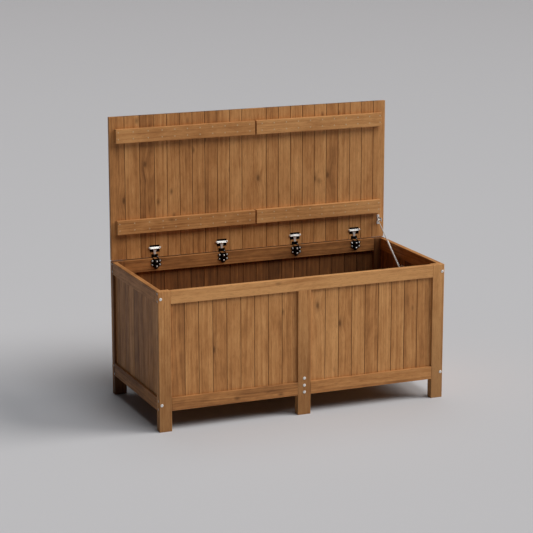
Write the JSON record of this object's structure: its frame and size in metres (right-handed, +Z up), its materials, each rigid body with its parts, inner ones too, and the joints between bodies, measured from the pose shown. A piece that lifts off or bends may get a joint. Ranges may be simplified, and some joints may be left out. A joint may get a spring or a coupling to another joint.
{
  "type": "deck storage box",
  "caption": "Slatted timber deck storage box on feet, with a hinged boarded lid held open by a telescopic stay.",
  "frame": {"origin": "on the floor under the middle of the box", "axes": "+X to the right along the box seen from the front, +Y from the front to the back, +Z up"},
  "size_m": [1.2, 0.5652, 1.1246],
  "materials": {
    "frame_wood": "stained acacia, satin oil",
    "panel_wood": "stained acacia boards, satin oil",
    "lid_wood": "stained acacia boards, satin oil",
    "inner_wood": "stained acacia, matt",
    "chrome": "polished nickel plate",
    "dark_steel": "dark nickel plate",
    "zinc": "bright zinc plate"
  },
  "bodies": {
    "box": {"front_left_post": "frame_wood", "front_right_post": "frame_wood", "back_left_post": "frame_wood", "back_right_post": "frame_wood", "front_middle_leg": "frame_wood", "back_middle_leg": "frame_wood", "front_top_rail": "frame_wood", "back_top_rail": "frame_wood", "left_top_rail": "frame_wood", "right_top_rail": "frame_wood", "front_bottom_rail_left": "frame_wood", "front_bottom_rail_right": "frame_wood", "back_bottom_rail_left": "frame_wood", "back_bottom_rail_right": "frame_wood", "left_bottom_rail": "frame_wood", "right_bottom_rail": "frame_wood", "front_left_boards": "panel_wood", "front_right_boards": "panel_wood", "back_boards": "panel_wood", "left_boards": "panel_wood", "right_boards": "panel_wood", "floor_bearer": "inner_wood", "floor_ledger_left": "inner_wood", "floor_ledger_right": "inner_wood", "floor_board_1": "inner_wood", "floor_board_2": "inner_wood", "floor_board_3": "inner_wood", "floor_board_4": "inner_wood", "floor_board_5": "inner_wood", "hinge_1_plate": "dark_steel", "hinge_1_pin": "chrome", "hinge_2_plate": "dark_steel", "hinge_2_pin": "chrome", "hinge_3_plate": "dark_steel", "hinge_3_pin": "chrome", "hinge_4_plate": "dark_steel", "hinge_4_pin": "chrome", "stay_wall_bracket": "zinc", "leg_bolt_1": "zinc", "leg_bolt_2": "zinc", "leg_bolt_3": "zinc", "corner_bolt_left_lower": "zinc", "corner_bolt_left_upper": "zinc", "corner_bolt_right_lower": "zinc", "corner_bolt_right_upper": "zinc"},
    "lid": {"lid_boards_left": "lid_wood", "lid_boards_right": "lid_wood", "lower_batten_left": "lid_wood", "lower_batten_right": "lid_wood", "upper_batten_left": "lid_wood", "upper_batten_right": "lid_wood", "hinge_1_cup": "chrome", "hinge_2_cup": "chrome", "hinge_3_cup": "chrome", "hinge_4_cup": "chrome", "stay_lid_bracket": "zinc"},
    "stay_tube": {"stay_tube": "zinc"},
    "stay_rod": {"stay_rod": "chrome"}
  },
  "joints": [
    {"name": "lid_hinge", "type": "hinge", "parent": "box", "child": "lid", "pos_m": [0, 0.2743, 0.5578], "axis": [1, 0, 0], "range_deg": [0, 90]},
    {"name": "stay_pivot", "type": "hinge", "parent": "box", "child": "stay_tube", "pos_m": [0.5655, 0.0425, 0.465], "axis": [1, 0, 0], "range_deg": [-15.99, 0.2]},
    {"name": "stay_slide", "type": "slide", "parent": "stay_tube", "child": "stay_rod", "axis": [0, 0.7861, 0.6182], "range_m": [-0.08671, 0.0005]}
  ],
  "couplings": [
    {"joint": "stay_pivot", "follows": "lid_hinge", "ratio": -0.17542},
    {"joint": "stay_slide", "follows": "lid_hinge", "m_per_rad": -0.05488}
  ]
}
